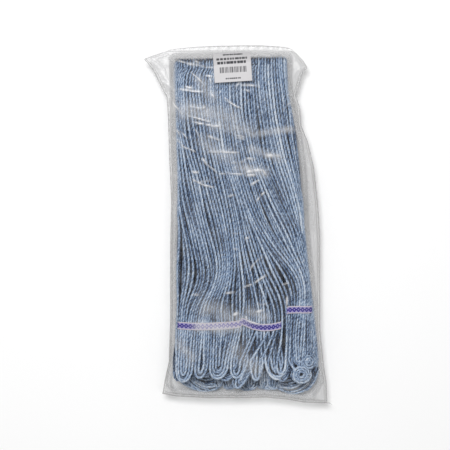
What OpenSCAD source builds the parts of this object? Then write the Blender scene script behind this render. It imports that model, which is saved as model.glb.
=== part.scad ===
// String mop refill, folded double over its headband and lying in a clear poly bag.
// +X is across the mop, +Y runs from the looped ends to the fold, +Z is up from the table.
// The origin is the middle of the footprint, on the table. Millimetres.

/* [Mop] */
// Distance from the table to the middle plane between the two tails
mid_height = 24.4; // [23:0.1:27]
// Rise of the upper tail above the middle plane, at its thickest
tail_rise = 22.4; // [18:0.1:22.4]
// Depth of the lower tail below the middle plane, at its thickest
tail_depth = 22.6; // [18:0.1:22.6]
// Number of strand bundles across the mop
bundle_count = 8; // [8:1:8]
// Strand ridges that each bundle shows
ridges = 5; // [3:1:6]
// Depth of the groove between two ridges
ridge_depth = 1.4; // [0.5:0.1:2]

/* [Fold and headband] */
// Outer radius of the strands where they turn over at the fold
fold_outer = 16.5; // [14:0.5:17]
// Inner radius of the strands at the fold
fold_inner = 6; // [5:0.5:8]
// Thickness of the headband tape
headband_tape = 1; // [0.6:0.1:1.2]
// Straight part of the headband, under the lower tail
headband_flat = 14; // [10:1:20]
// Width of the headband across the mop
headband_width = 146; // [130:1:150]

/* [Scrub pad] */
// Length of the scrub pad across the mop
pad_length = 112; // [80:1:130]
// Width of the scrub pad along the mop
pad_width = 66; // [40:1:70]
// Thickness of the scrub pad
pad_thick = 4.6; // [3:0.1:4.8]

/* [Tail bands] */
// Width of the tape that holds each tail together
band_width = 11; // [8:0.5:14]
// Thickness of that tape
band_tape = 1; // [0.6:0.1:1.2]
// How far the band pinches the strands on each side
band_pinch = 5; // [3:0.5:6]

/* [Bag] */
// Thickness that the film is given
film = 0.6; // [0.4:0.1:0.8]
// Rise of the front film above the middle plane
film_rise = 24; // [23.8:0.1:26]
// Width of the side welds
weld_width = 2.4; // [1.5:0.1:3]
// Width of the seal strip along the bottom
bottom_seal = 3; // [2:0.5:3]

/* [Label] */
// Width of the label
label_width = 56; // [40:1:60]
// Height of the label
label_height = 47; // [30:1:48]

/* [Hidden] */

yarn_color = "#94aac6";
tape_color = "#6c68b4";
film_color = [0.84, 0.84, 0.84, 0.4];

gap = 0.3;              // room between pieces that only lie against each other
seam_gap = 0.15;        // half the room between the two films where they meet
fold_y = 233.5;         // centre of the fold's turn
hinge_y = 262;          // straight line along which the front film folds back
dome_top_y = 258.5;     // where the stuffed part of the bag ends, at the top
film_start_y = -262;    // nominal start of the film, at the bottom
slope_left = 16;        // width over which the film rises at the left edge
slope_right = 22;       // and at the right edge
slope_top = 28;         // and at the top
slope_bottom = 16;      // and at the bottom
front_band_y = -150;    // tail band of the upper tail, on the left
front_band_step = 24;   // how much higher it sits on the right
back_band_y = -190;     // tail band of the lower tail
open_from = 120;        // where the tails start to part towards the fold
open_to = 208;          // and where they are fully parted
pinch_flat = 12;        // half the length of strands that a band flattens
pinch_reach = 30;       // and half the length over which they swell out again

// Left and right edges of the strands, as [distance along the mop, place across it]
yarn_left = [[-258, -88], [-240, -97], [-215, -98], [-150, -93.5], [-20, -93], [60, -91],
    [150, -93.5], [235, -95]];
yarn_right = [[-258, 110], [-235, 117], [-190, 117], [-130, 113.5], [-60, 106], [0, 100],
    [80, 97], [126, 91], [157, 84], [195, 76], [235, 74]];

// Left and right edges of the film
film_left = [[-254, -113.5], [-232, -110], [-205, -104], [-142, -102], [-30, -102],
    [37, -100.5], [102, -103.5], [156, -105], [192, -107], [235.5, -129], [250, -142],
    [262, -106]];
film_right = [[-268, 134], [-235, 133], [-210, 129], [-172, 125], [-153, 123.5], [-8, 123],
    [37, 120], [88, 114], [126, 105], [150, 95], [175, 93.5], [195, 87], [231, 98], [236, 105],
    [247.5, 98], [262, 84]];
// Bottom edge of the film, as [place across, distance along]
film_bottom = [[-114, -254], [-91, -258], [-43, -260.5], [1, -260.5], [42, -259.5], [77, -263],
    [99, -267], [135, -268]];
// Top edge of the seal strip, from the left ear to the right one
film_top = [[-105, 263], [-88, 265.5], [-60, 268], [-30, 269.3], [3, 270], [36, 270], [60, 268.5],
    [76, 266.5], [83, 263]];

// Share of the mop's width at which each bundle starts, at the fold and at the tail band
share_fold = [0, 0.125, 0.25, 0.375, 0.5, 0.625, 0.75, 0.875, 1];
share_band = [0, 0.115, 0.23, 0.345, 0.465, 0.625, 0.78, 0.89, 1];

// Distances along the mop at which each bundle has a ring, upper tail and lower tail
front_rings = [-236, -229, -205, -182, -163, -150, -142, -136, -115, -92, -35, 30, 100, 165,
    205, 233.5];
back_rings = [233.5, 205, 160, 110, 60, -50, -130, -160, -180, -200, -220, -236, -246];
fold_angles = [60, 30, 0, -30, -60];

function ramp(t) = let (c = max(0, min(1, t))) c * c * (3 - 2 * c);
function rise_over(d, span) = sin(90 * max(0, min(1, d / span)));
function bump(y, centre, half, flat = 0) = 0.5 + 0.5 * cos(180
    * max(0, min(1, (abs(y - centre) - flat) / (half - flat))));

// Edges of the stuffed part of the bag: a little outside the strands, inside the film's rim
rim = 4;
margin = 7;
strand_inset = 2.4;     // how far the strands lie inside the stuffed part
function dome_left(y) = max(lookup(y, yarn_left) - margin, lookup(y, film_left) + rim);
function dome_right(y) = min(lookup(y, yarn_right) + margin, lookup(y, film_right) - rim);

// Share of its full height that the stuffed bag has at a place, drawn in by inset all round
function fullness(x, y, inset) =
    rise_over(x - dome_left(y) - inset, slope_left)
    * rise_over(dome_right(y) - inset - x, slope_right)
    * rise_over(dome_top_y - inset - y, slope_top)
    * rise_over(y - lookup(x, film_bottom) - bottom_seal - 0.5 - inset, slope_bottom);

// Place across the mop of the line between two bundles
function split_x(k, y, t) =
    let (share = share_fold[k] + (share_band[k] - share_fold[k]) * t)
    lookup(y, yarn_left) + (lookup(y, yarn_right) - lookup(y, yarn_left)) * share;

// Outer radius of the strands at the fold, which rounds off towards the mop's two sides
function fold_radius(x) =
    fold_outer - (fold_outer - fold_inner - 1.6) * (1 - rise_over(x - lookup(fold_y, yarn_left), 12)
        * rise_over(lookup(fold_y, yarn_right) - x, 12));

// Share of the fold's inner radius to which the two tails have opened at a place
function opening(y) = ramp((y - open_from) / (open_to - open_from));

// Height of the upper tail's outer face above the middle plane
function front_face(x, y) =
    let (full = 2.4 + (tail_rise - 2.4) * fullness(x, y, strand_inset),
         near_fold = ramp((y - 120) / (fold_y - 120)),
         band = band_pinch * bump(y, band_line(x), pinch_reach, pinch_flat))
    (full - band * min(1, full / tail_rise)) * (1 - near_fold) + fold_radius(x) * near_fold;
// Height of its inner face
function front_under(x, y) =
    gap + 4 * bump(y, band_line(x), pinch_reach, pinch_flat)
        + (fold_inner - gap) * opening(y);
// Depth of the lower tail's outer face below the middle plane
function back_face(x, y) =
    let (full = 2.4 + (tail_depth - 2.4) * fullness(x, y, strand_inset),
         near_fold = ramp((y - 60) / 100),
         band = band_pinch * bump(y, back_band_y, pinch_reach, pinch_flat))
    (full - band * min(1, full / tail_depth)) * (1 - near_fold) + fold_radius(x) * near_fold;
function back_under(x, y) =
    gap + 4 * bump(y, back_band_y, pinch_reach, pinch_flat)
        + (fold_inner - gap) * opening(y);

// The upper tail's band steps up towards the right-hand bundles
function band_line(x) = front_band_y + front_band_step * ramp((x - 62) / 14) - 5 * bump(x, 38, 40);

// One station of a bundle: where its outer and inner faces are, and which way out is
function station_front(y) = ["front", y, 0];
function station_fold(a) = ["fold", fold_y, a];
function station_back(y) = ["back", y, 0];
stations = concat([for (y = front_rings) station_front(y)], [for (a = fold_angles) station_fold(a)],
    [for (y = back_rings) station_back(y)]);

function outward(s) = s[0] == "front" ? [0, 1] : s[0] == "back" ? [0, -1] : [cos(s[2]), sin(s[2])];
function outer_at(s, x) = s[0] == "front" ? front_face(x, s[1])
    : s[0] == "back" ? back_face(x, s[1]) : fold_radius(x);
function inner_at(s, x) = s[0] == "front" ? front_under(x, s[1])
    : s[0] == "back" ? back_under(x, s[1]) : fold_inner;
// How far the bundles have moved from their places at the fold to those at the tail band
function spread_at(s) = s[0] == "front" ? 1 - ramp((s[1] + 140) / 300) : 0;
// The loops' ends are drawn in, and lose their ridges
function last(v) = v[len(v) - 1];
function is_end(s) = s == stations[0] || s == last(stations);

ring_outer = 2 * ridges + 1;
ring_inner = 4;
ring_size = ring_outer + ring_inner;

// Points of one ring: the ridged outer face from left to right, then the inner face back
function bundle_ring(k, s) =
    let (left = split_x(k, s[1], spread_at(s)) + (k == 0 ? 0 : gap / 2),
         right = split_x(k + 1, s[1], spread_at(s)) - (k == bundle_count - 1 ? 0 : gap / 2),
         dir = outward(s), centre = mid_height)
    [for (i = [0:ring_size - 1])
        let (top = i < ring_outer,
             t = top ? i / (ring_outer - 1) : 1 - (i - ring_outer + 0.5) / ring_inner,
             x = left + (right - left) * t,
             lo = inner_at(s, x),
             groove = i % 2 == 0 && !is_end(s) ? ridge_depth : 0,
             hi = max(lo + 1.6, outer_at(s, x) - groove),
             r = top ? lo + (hi - lo) * (is_end(s) ? 0.55 : 1) : lo)
        [x, s[1] + dir[0] * r, centre + dir[1] * r]];

// Triangles across the first ring of a bundle, in strips between its outer and inner points
function inner_near(i) = ring_size - 1 - floor((i + 0.5) / (ring_outer - 1) * ring_inner);
bundle_cap = [for (i = [0:ring_outer - 2]) each concat([[i, inner_near(i), i + 1]],
    i < ring_outer - 2 && inner_near(i) != inner_near(i + 1)
        ? [[i + 1, inner_near(i), inner_near(i + 1)]] : [])];
tape_cap = [[0, 2, 1], [0, 3, 2]];

// Closed solid through a list of rings that all have the same number of points. The caps are
// the triangles that close the first ring, and close the last one the other way round.
module loft(rings, cap) {
    n = len(rings[0]);
    m = len(rings);
    last_ring = (m - 1) * n;
    sides = [for (i = [0:m - 2], j = [0:n - 1])
        let (a = i * n + j, b = i * n + (j + 1) % n) each [[a, b, b + n], [a, b + n, a + n]]];
    end_cap = [for (f = cap) [last_ring + f[0], last_ring + f[2], last_ring + f[1]]];
    polyhedron(points = [for (ring = rings) each ring], faces = concat(sides, cap, end_cap));
}

module strand_bundle(k) {
    color(yarn_color) loft([for (s = stations) bundle_ring(k, s)], bundle_cap);
}

// A turn of flat tape about the fold, from the fold's outside down to the straight part below
module fold_wrap(r_in, r_out, flat, x_from, x_to) {
    translate([0, fold_y, mid_height]) {
        intersection() {
            translate([x_from, 0, 0]) rotate([0, 90, 0]) difference() {
                cylinder(r = r_out, h = x_to - x_from, $fn = 96);
                translate([0, 0, -1]) cylinder(r = r_in, h = x_to - x_from + 2, $fn = 96);
            }
            // the sector from 30 degrees below level down to straight below
            translate([x_from - 1, 0, 0]) rotate([0, 90, 0]) linear_extrude(x_to - x_from + 2)
                polygon([[0, 0], [wrap_reach, 0], [wrap_reach, wrap_reach], [wrap_reach * tan(30),
                    wrap_reach]]);
        }
        translate([x_from, -flat, -r_out]) cube([x_to - x_from, flat, r_out - r_in]);
    }
}
wrap_reach = 40;
tape_inner_r = fold_outer + 0.2;
tape_outer_r = tape_inner_r + headband_tape;
band_x_from = -82.5;
band_x_to = band_x_from + headband_width;
hem_width = 5;
hem_thick = 0.5;

module headband_outer_tape() {
    color(tape_color) fold_wrap(tape_inner_r, tape_outer_r, headband_flat, band_x_from, band_x_to);
}

module headband_inner_tape() {
    color(tape_color)
        fold_wrap(fold_inner - 0.2 - headband_tape, fold_inner - 0.2, headband_flat + 10,
            band_x_from, band_x_to);
}

// The ends of the headband are turned under and sewn, which doubles the tape there
module headband_hem(x_from) {
    color(tape_color)
        fold_wrap(tape_outer_r, tape_outer_r + hem_thick, headband_flat, x_from, x_from + hem_width);
}

// Rows of thread across the headband: two on the turn and two on the straight part
stitch_h = 0.45;
stitch_w = 0.9;
stitch_len = 5;
stitch_step = 7;
module headband_stitching() {
    x_from = band_x_from + hem_width + 2;
    rows = floor((headband_width - 2 * hem_width - 4) / stitch_step);
    color("white") translate([0, fold_y, mid_height]) for (i = [0:rows - 1]) {
        x = x_from + i * stitch_step;
        for (y = [-5, -headband_flat + 1])
            translate([x, y, -tape_outer_r - stitch_h]) cube([stitch_len, stitch_w, stitch_h]);
        for (a = [25, 48]) rotate([a, 0, 0])
            translate([x, -stitch_w / 2, -tape_outer_r - stitch_h])
                cube([stitch_len, stitch_w, stitch_h]);
    }
}

// The pad lies under the headband's straight part and the start of the lower tail
pad_top = mid_height - tape_outer_r - hem_thick - 0.1;
pad_y = fold_y - 3;
pad_x = -66.5;
pad_corner = 6;
module scrub_pad() {
    color("#3f5f9a") translate([pad_x, pad_y - pad_width, pad_top - pad_thick]) difference() {
        linear_extrude(pad_thick) rounded_plate(pad_length, pad_width, pad_corner);
        // the line of stitches along the headband is pressed into the pad's lower face
        translate([6, pad_width - 8, -1]) cube([pad_length - 12, 1.6, 1.7]);
    }
}

module rounded_plate(w, l, r) {
    hull() for (x = [r, w - r], y = [r, l - r]) translate([x, y]) circle(r = r, $fn = 32);
}

module scrub_pad_stitching() {
    color("white") for (i = [0:floor((pad_length - 14) / stitch_step) - 1])
        translate([pad_x + 8 + i * stitch_step, pad_y - 7.6, pad_top - pad_thick + 0.25])
            cube([stitch_len, stitch_w, stitch_h]);
}

// A tape across a tail, sampled across the mop, and the height of its lower face
tape_steps = 28;
tape_from = -90;
tape_to = 106;
function tape_x(i) = tape_from + (tape_to - tape_from) * i / tape_steps;
// Highest point of the upper tail under the tape's width, a little to either side of x too
function tape_rest(x) = max([for (dx = [-3, 0, 3], dy = [-6, 0, 6])
    front_face(x + dx, band_line(x) + dy)]);
function back_tape_rest(x) = max([for (dx = [-3, 0, 3]) back_face(x + dx, back_band_y)]);
function front_tape_base(x, upper) = mid_height + (upper
    ? tape_rest(x) + tape_gap : front_under(x, band_line(x)) - band_tape - 2 * tape_gap);
function back_tape_base(x, upper) = mid_height + (upper
    ? -back_under(x, back_band_y) + tape_gap : -back_tape_rest(x) - band_tape - tape_gap);
tape_gap = 0.4;

module front_tape(upper) {
    color(tape_color) loft([for (i = [0:tape_steps])
        let (x = tape_x(i), y = band_line(x), z = front_tape_base(x, upper))
        tape_ring(x, y, z, band_width, band_tape)], tape_cap);
}

module back_tape(upper) {
    color(tape_color) loft([for (i = [0:tape_steps])
        let (x = tape_x(i), z = back_tape_base(x, upper))
        tape_ring(x, back_band_y, z, band_width, band_tape)], tape_cap);
}

function tape_ring(x, y, z, w, t) =
    [[x, y - w / 2, z], [x, y + w / 2, z], [x, y + w / 2, z + t], [x, y - w / 2, z + t]];

// Two rows of thread near the tape's edges
module front_stitching() {
    color("white") for (side = [-1, 1]) loft([for (i = [1:tape_steps - 1])
        let (x = tape_x(i), y = band_line(x) + side * (band_width / 2 - 1.6))
        tape_ring(x, y, front_tape_base(x, true) + band_tape, 0.8, 0.4)], tape_cap);
}

module back_stitching() {
    color("white") for (side = [-1, 1]) loft([for (i = [1:tape_steps - 1])
        let (x = tape_x(i), y = back_band_y + side * (band_width / 2 - 1.6))
        tape_ring(x, y, back_tape_base(x, false) - 0.4, 0.8, 0.4)], tape_cap);
}

// The film is a grid: across from its left to its right edge, along from bottom to top
film_across = [0, 0.012, 0.03, 0.045, 0.06, 0.08, 0.1, 0.13, 0.17, 0.24, 0.33, 0.43, 0.53, 0.63, 0.72,
    0.79, 0.84, 0.87, 0.895, 0.92, 0.945, 0.97, 0.985, 1];
film_rows = [-262, -258.5, -255, -250.5, -245, -238, -230, -216, -205, -180, -142, -100, -50, 0,
    37, 70, 102, 130, 150, 175, 192, 195, 210, 222, 231, 237, 243.5, 250, 255, 258.5, 262];
film_along = [for (row = film_rows) (row - film_start_y) / (hinge_y - film_start_y)];
edge_inset = weld_width + 1;
bottom_inset = bottom_seal + 2 * gap;
function film_x(u, y, inset) = (lookup(y, film_left) + inset) * (1 - u)
    + (lookup(y, film_right) - inset) * u;
function film_xy(u, v, side_inset, end_inset) =
    let (nominal = film_start_y + v * (hinge_y - film_start_y),
         base = lookup(film_x(u, nominal, side_inset), film_bottom) + end_inset,
         y = base + v * (hinge_y - base))
    [film_x(u, y, side_inset), y];

// Both faces of a film panel: the front one bulges up from the middle plane, the back one down
function front_film_z(x, y, inset) =
    mid_height + seam_gap + (inset == 0 ? film : 0) + (film_rise - film) * fullness(x, y, inset);
function back_film_z(x, y, inset) =
    let (full = min(1, 1.04 * fullness(x, y, inset)))
    (inset == 0 ? 0 : film) + (mid_height - seam_gap - film) * (1 - full);

// Closed shell between two faces that are both grids of nu by nv points. The first face is the
// one that looks up, unless down is true.
module grid_shell(first, second, nu, nv, down) {
    count = nu * nv;
    outer = [for (j = [0:nv - 2], i = [0:nu - 2])
        let (a = j * nu + i) each [[a, a + nu, a + nu + 1], [a, a + nu + 1, a + 1]]];
    inner = [for (f = outer) [f[0] + count, f[2] + count, f[1] + count]];
    border = concat([for (i = [0:nu - 2]) i], [for (j = [0:nv - 2]) j * nu + nu - 1],
        [for (i = [nu - 1:-1:1]) (nv - 1) * nu + i], [for (j = [nv - 1:-1:1]) j * nu]);
    edge = [for (k = [0:len(border) - 1]) let (a = border[k], b = border[(k + 1) % len(border)])
        each [[a, b, b + count], [a, b + count, a + count]]];
    faces = concat(outer, inner, edge);
    polyhedron(points = concat(first, second),
        faces = down ? [for (f = faces) [f[0], f[2], f[1]]] : faces);
}

function film_face(front, inset) =
    let (side = front ? edge_inset : 0, end = front ? bottom_inset : 0)
    [for (v = film_along, u = film_across)
        let (p = film_xy(u, v, side, end))
        [p[0], p[1], front ? front_film_z(p[0], p[1], inset) : back_film_z(p[0], p[1], inset)]];

// The outer face comes first, then the inner face, drawn in by the film's thickness
module film_panel(front) {
    color(film_color) grid_shell(film_face(front, 0), film_face(front, film), len(film_across),
        len(film_along), !front);
}

// Seal strips lie on the back film's flat rim, level with the front film beside them
seal_base = mid_height - seam_gap;
seal_thick = seam_gap * 2 + film;

// A side weld starts just above the bottom seal
module side_weld(edge, inward) {
    start = edge[0][0] + bottom_seal + gap;
    cut = concat([[start, lookup(start, edge)]], [for (p = edge) if (p[0] > start) p]);
    pts = [for (p = cut) [p[1], p[0]]];
    inner = [for (i = [len(pts) - 1:-1:0]) [pts[i][0] + inward * weld_width, pts[i][1]]];
    color(film_color) translate([0, 0, seal_base]) linear_extrude(seal_thick)
        polygon(concat(pts, inner));
}

module bag_top_seal() {
    color(film_color) translate([0, 0, seal_base]) linear_extrude(seal_thick)
        polygon(concat([[-105, hinge_y + gap]], film_top, [[83, hinge_y + gap]]));
}

// The bottom seal ends on the right in the small tail of film left by the cut
module bag_bottom_seal() {
    upper = [for (i = [len(film_bottom) - 1:-1:0]) film_bottom[i] + [0, bottom_seal]];
    color(film_color) translate([0, 0, seal_base]) linear_extrude(seal_thick)
        polygon(concat(film_bottom, [[142, -270], [137, -266]], upper));
}

// The label follows the front film, just above it
label_x = -8.4;
label_y = 236;
label_turn = 3.5;
label_steps = 12;
label_gap = 0.25;
label_thick = 0.25;
function label_face(lift) = [for (j = [0:label_steps], i = [0:label_steps])
    let (u = (i / label_steps - 0.5) * label_width, v = (j / label_steps - 0.5) * label_height,
         x = label_x + u * cos(label_turn) - v * sin(label_turn),
         y = label_y + u * sin(label_turn) + v * cos(label_turn))
    [x, y, front_film_z(x, y, 0) + lift]];
module label() {
    color("whitesmoke") grid_shell(label_face(label_gap + label_thick), label_face(label_gap),
        label_steps + 1, label_steps + 1, false);
}

strand_bundle(0);  // strand_bundle_1
strand_bundle(1);  // strand_bundle_2
strand_bundle(2);  // strand_bundle_3
strand_bundle(3);  // strand_bundle_4
strand_bundle(4);  // strand_bundle_5
strand_bundle(5);  // strand_bundle_6
strand_bundle(6);  // strand_bundle_7
strand_bundle(7);  // strand_bundle_8
headband_outer_tape();
headband_inner_tape();
headband_hem(band_x_from);  // headband_left_hem
headband_hem(band_x_to - hem_width);  // headband_right_hem
headband_stitching();
scrub_pad();
scrub_pad_stitching();
front_tape(true);  // front_band_upper_tape
front_tape(false);  // front_band_lower_tape
front_stitching();  // front_band_stitching
back_tape(true);  // back_band_upper_tape
back_tape(false);  // back_band_lower_tape
back_stitching();  // back_band_stitching
film_panel(true);  // bag_front_film
film_panel(false);  // bag_back_film
bag_top_seal();
bag_bottom_seal();
side_weld(film_left, 1);  // bag_left_weld
side_weld(film_right, -1);  // bag_right_weld
label();
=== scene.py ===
"""String mop refill, folded over its headband and lying in a clear poly bag.

Lengths in the working functions are millimetres, in the part's own frame, and become metres
where a mesh is made. The tables of edges follow those of the part's source, a little fuller at
the mop's lower corners.
"""

import math

import bpy
import numpy as np
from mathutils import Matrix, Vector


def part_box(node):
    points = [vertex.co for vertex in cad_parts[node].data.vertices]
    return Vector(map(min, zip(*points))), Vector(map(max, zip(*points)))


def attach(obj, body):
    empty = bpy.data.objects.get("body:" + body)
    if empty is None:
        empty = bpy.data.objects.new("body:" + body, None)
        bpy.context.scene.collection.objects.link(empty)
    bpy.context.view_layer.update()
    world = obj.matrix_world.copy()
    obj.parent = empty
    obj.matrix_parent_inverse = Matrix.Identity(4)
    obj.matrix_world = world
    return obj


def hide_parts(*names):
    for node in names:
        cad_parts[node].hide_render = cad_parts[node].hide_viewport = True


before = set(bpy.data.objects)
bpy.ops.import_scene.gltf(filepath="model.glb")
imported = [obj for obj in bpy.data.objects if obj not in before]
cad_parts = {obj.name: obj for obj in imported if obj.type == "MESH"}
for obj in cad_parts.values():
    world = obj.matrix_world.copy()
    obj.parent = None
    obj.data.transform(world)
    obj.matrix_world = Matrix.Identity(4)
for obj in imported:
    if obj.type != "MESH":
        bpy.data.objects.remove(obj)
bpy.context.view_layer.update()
rng = np.random.default_rng(11)

MM = 0.001
MID = 24.4  # height of the plane between the two tails
FOLD_Y = 233.5
HINGE_Y = 262.0
DOME_TOP = 258.5
TAIL_RISE, TAIL_DEPTH = 22.4, 22.6
FOLD_OUTER, FOLD_INNER = 16.5, 6.0
BACK_BAND_Y = -190.0
BAND_PINCH = 5.0
EDGE_RISE = 2.4  # height of a tail at its very edge
LUMP_Y = -205.0  # where the lower tail's ends begin to come round in the bag's corners
BAG_FOOT = -262.0

YARN_LEFT = np.array([[-258, -88], [-240, -101], [-215, -101.5], [-150, -93.5], [-20, -93],
                      [60, -91], [150, -93.5], [235, -95]], float)
YARN_RIGHT = np.array([[-258, 110], [-235, 122], [-190, 121], [-130, 114.5], [-60, 106],
                       [0, 100], [80, 97], [126, 91], [157, 84], [195, 76], [235, 74]], float)
FILM_LEFT = np.array([[-254, -113.5], [-232, -110], [-205, -104], [-142, -102], [-30, -102],
                      [37, -100.5], [102, -103.5], [156, -105], [192, -107], [235.5, -129],
                      [250, -142], [262, -106]], float)
FILM_RIGHT = np.array([[-268, 134], [-235, 133], [-210, 129], [-172, 125], [-153, 123.5],
                       [-8, 123], [37, 120], [88, 114], [126, 105], [150, 95], [175, 93.5],
                       [195, 87], [231, 98], [236, 105], [247.5, 98], [262, 84]], float)
FILM_BOTTOM = np.array([[-114, -254], [-91, -258], [-43, -260.5], [1, -260.5], [42, -259.5],
                        [77, -263], [99, -267], [135, -268]], float)
FILM_TOP = np.array([[-105, 263], [-88, 265.5], [-60, 268], [-30, 269.3], [3, 270], [36, 270],
                     [60, 268.5], [76, 266.5], [83, 263]], float)


def look(t, table):
    """The value at t in a table of pairs."""
    return np.interp(t, table[:, 0], table[:, 1])


def ramp(t):
    """A smooth step from 0 at 0 to 1 at 1."""
    c = np.clip(t, 0, 1)
    return c * c * (3 - 2 * c)


def rise_over(d, span):
    """A rounded shoulder: 0 at an edge, 1 from span inside it."""
    return np.sin(np.pi / 2 * np.clip(d / span, 0, 1))


def bump(y, centre, half, flat=0.0):
    """1 within flat of a centre, falling smoothly to 0 at half."""
    return 0.5 + 0.5 * np.cos(np.pi * np.clip((np.abs(y - centre) - flat) / (half - flat), 0, 1))


def dome_left(y):
    return np.maximum(look(y, YARN_LEFT) - 7, look(y, FILM_LEFT) + 1.5)


def dome_right(y):
    return np.minimum(look(y, YARN_RIGHT) + 7, look(y, FILM_RIGHT) - 4)


def fullness(x, y, inset):
    """Share of its full height that the stuffed bag has at a place."""
    steep = np.clip((x + 60) / 130, 0, 1)
    return (rise_over(x - dome_left(y) - inset, 16) * rise_over(dome_right(y) - inset - x, 22)
            * rise_over(DOME_TOP + 2 * steep - inset - y, 28 - 16 * steep)
            * rise_over(y - look(x, FILM_BOTTOM) - 3.5 - inset, 16))


def band_line(x):
    """Where the upper tail's band lies: down the mop at the left, higher at the right."""
    return -150 + 24 * ramp((x - 62) / 14) - 5 * bump(x, 38, 40)


def fold_radius(x):
    side = rise_over(x - look(FOLD_Y, YARN_LEFT), 12) * rise_over(look(FOLD_Y, YARN_RIGHT) - x, 12)
    return FOLD_OUTER - (FOLD_OUTER - FOLD_INNER - 1.6) * (1 - side)


def tail_face(x, y, rise, near, band_y):
    """Height of a tail's outer face over the plane between the tails; near is 1 at the fold."""
    full = EDGE_RISE + (rise - EDGE_RISE) * fullness(x, y, EDGE_RISE)
    band = BAND_PINCH * bump(y, band_y, 30, 12)
    return (full - band * np.minimum(1, full / rise)) * (1 - near) + fold_radius(x) * near


def front_face(x, y):
    return tail_face(x, y, TAIL_RISE, ramp((y - 120) / (FOLD_Y - 120)), band_line(x))


def back_face(x, y):
    return tail_face(x, y, TAIL_DEPTH, ramp((y - 60) / 100), BACK_BAND_Y)


def tail_under(y, band_y):
    """Height of a tail's inner face over the plane between the tails."""
    return 0.3 + 4 * bump(y, band_y, 30, 12) + (FOLD_INNER - 0.3) * ramp((y - 120) / 88)


def film_height(x, y):
    """Height of the front film, before its creases."""
    return MID + 0.75 + 23.4 * fullness(x, y, 0.0)


# ---------------------------------------------------------------- camera and light

camera = bpy.data.objects.new("camera", bpy.data.cameras.new("camera"))
camera.data.lens = 100
camera.data.sensor_width = 36
camera.location = (-0.0195, 0.0, 1.905)
bpy.context.collection.objects.link(camera)
bpy.context.scene.camera = camera
bpy.context.scene.view_settings.view_transform = "Standard"

world = bpy.data.worlds.new("studio")
bpy.context.scene.world = world
world.use_nodes = True
backdrop = world.node_tree.nodes["Background"]
backdrop.inputs["Color"].default_value = (1, 1, 1, 1)
backdrop.inputs["Strength"].default_value = 0.45


def area_light(name, place, size, watts):
    """A square lamp that faces the object."""
    data = bpy.data.lights.new(name, "AREA")
    data.size = size
    data.energy = watts
    obj = bpy.data.objects.new(name, data)
    obj.location = place
    x, y, z = -np.array(obj.location)
    obj.rotation_euler = (math.atan2(math.hypot(x, y), -z), 0, math.atan2(y, x) - math.pi / 2)
    bpy.context.collection.objects.link(obj)


area_light("key", (-0.34, 0.72, 2.2), 0.8, 34)
area_light("fill", (0.6, -0.5, 2.3), 1.2, 6)

# ---------------------------------------------------------------- meshes and materials


def make_object(name, verts, faces, attributes=None):
    """An object from vertices in millimetres, quads or triangles and per-vertex numbers."""
    verts = np.asarray(verts, np.float64) * MM
    faces = np.asarray(faces, np.int32)
    mesh = bpy.data.meshes.new(name)
    mesh.vertices.add(len(verts))
    mesh.vertices.foreach_set("co", verts.ravel())
    side = faces.shape[1]
    mesh.loops.add(faces.size)
    mesh.loops.foreach_set("vertex_index", faces.ravel())
    mesh.polygons.add(len(faces))
    mesh.polygons.foreach_set("loop_start", np.arange(0, faces.size, side, dtype=np.int32))
    mesh.polygons.foreach_set("loop_total", np.full(len(faces), side, np.int32))
    mesh.polygons.foreach_set("use_smooth", np.full(len(faces), True))
    for key, values in (attributes or {}).items():
        layer = mesh.attributes.new(key, "FLOAT", "POINT")
        layer.data.foreach_set("value", np.asarray(values, np.float32))
    mesh.update(calc_edges=True)
    mesh.validate()
    obj = bpy.data.objects.new(name, mesh)
    bpy.context.collection.objects.link(obj)
    return obj


def grid_faces(nu, nv, flip=False):
    """Quads of a grid whose points run along u first."""
    a = (np.arange(nv - 1)[:, None] * nu + np.arange(nu - 1)[None, :]).ravel()
    quads = np.stack([a, a + 1, a + nu + 1, a + nu], 1)
    return quads[:, ::-1] if flip else quads


def skin(name, outer, inner, attributes=None, flip=False):
    """A closed solid between two grids of points that have the same layout."""
    nv, nu = outer.shape[:2]
    n = nu * nv
    top = grid_faces(nu, nv, flip)
    rim = np.concatenate([np.arange(nu - 1), np.arange(nv - 1) * nu + nu - 1,
                          n - 1 - np.arange(nu - 1), (nv - 1 - np.arange(nv - 1)) * nu])
    nxt = np.roll(rim, -1)
    edge = np.stack([rim, rim + n, nxt + n, nxt], 1)
    edge = edge[:, ::-1] if flip else edge
    attributes = {k: np.tile(np.ravel(v), 2) for k, v in (attributes or {}).items()}
    return make_object(name, np.stack([outer, inner]).reshape(-1, 3),
                       np.concatenate([top, top[:, ::-1] + n, edge]), attributes)


def shell(name, points, thick, attributes):
    """A closed thin sheet: a grid of points and its copy lower down by thick."""
    return skin(name, points, points - np.array([0, 0, thick]), attributes)


def finish_piece(obj, material, slot, *nodes, body="bagged_mop"):
    """Gives a piece its material, its body and the CAD nodes that it stands for; slot is not used.
    """
    obj.data.materials.append(material)
    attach(obj, body)
    if nodes:
        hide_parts(*nodes)
    return obj


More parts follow.
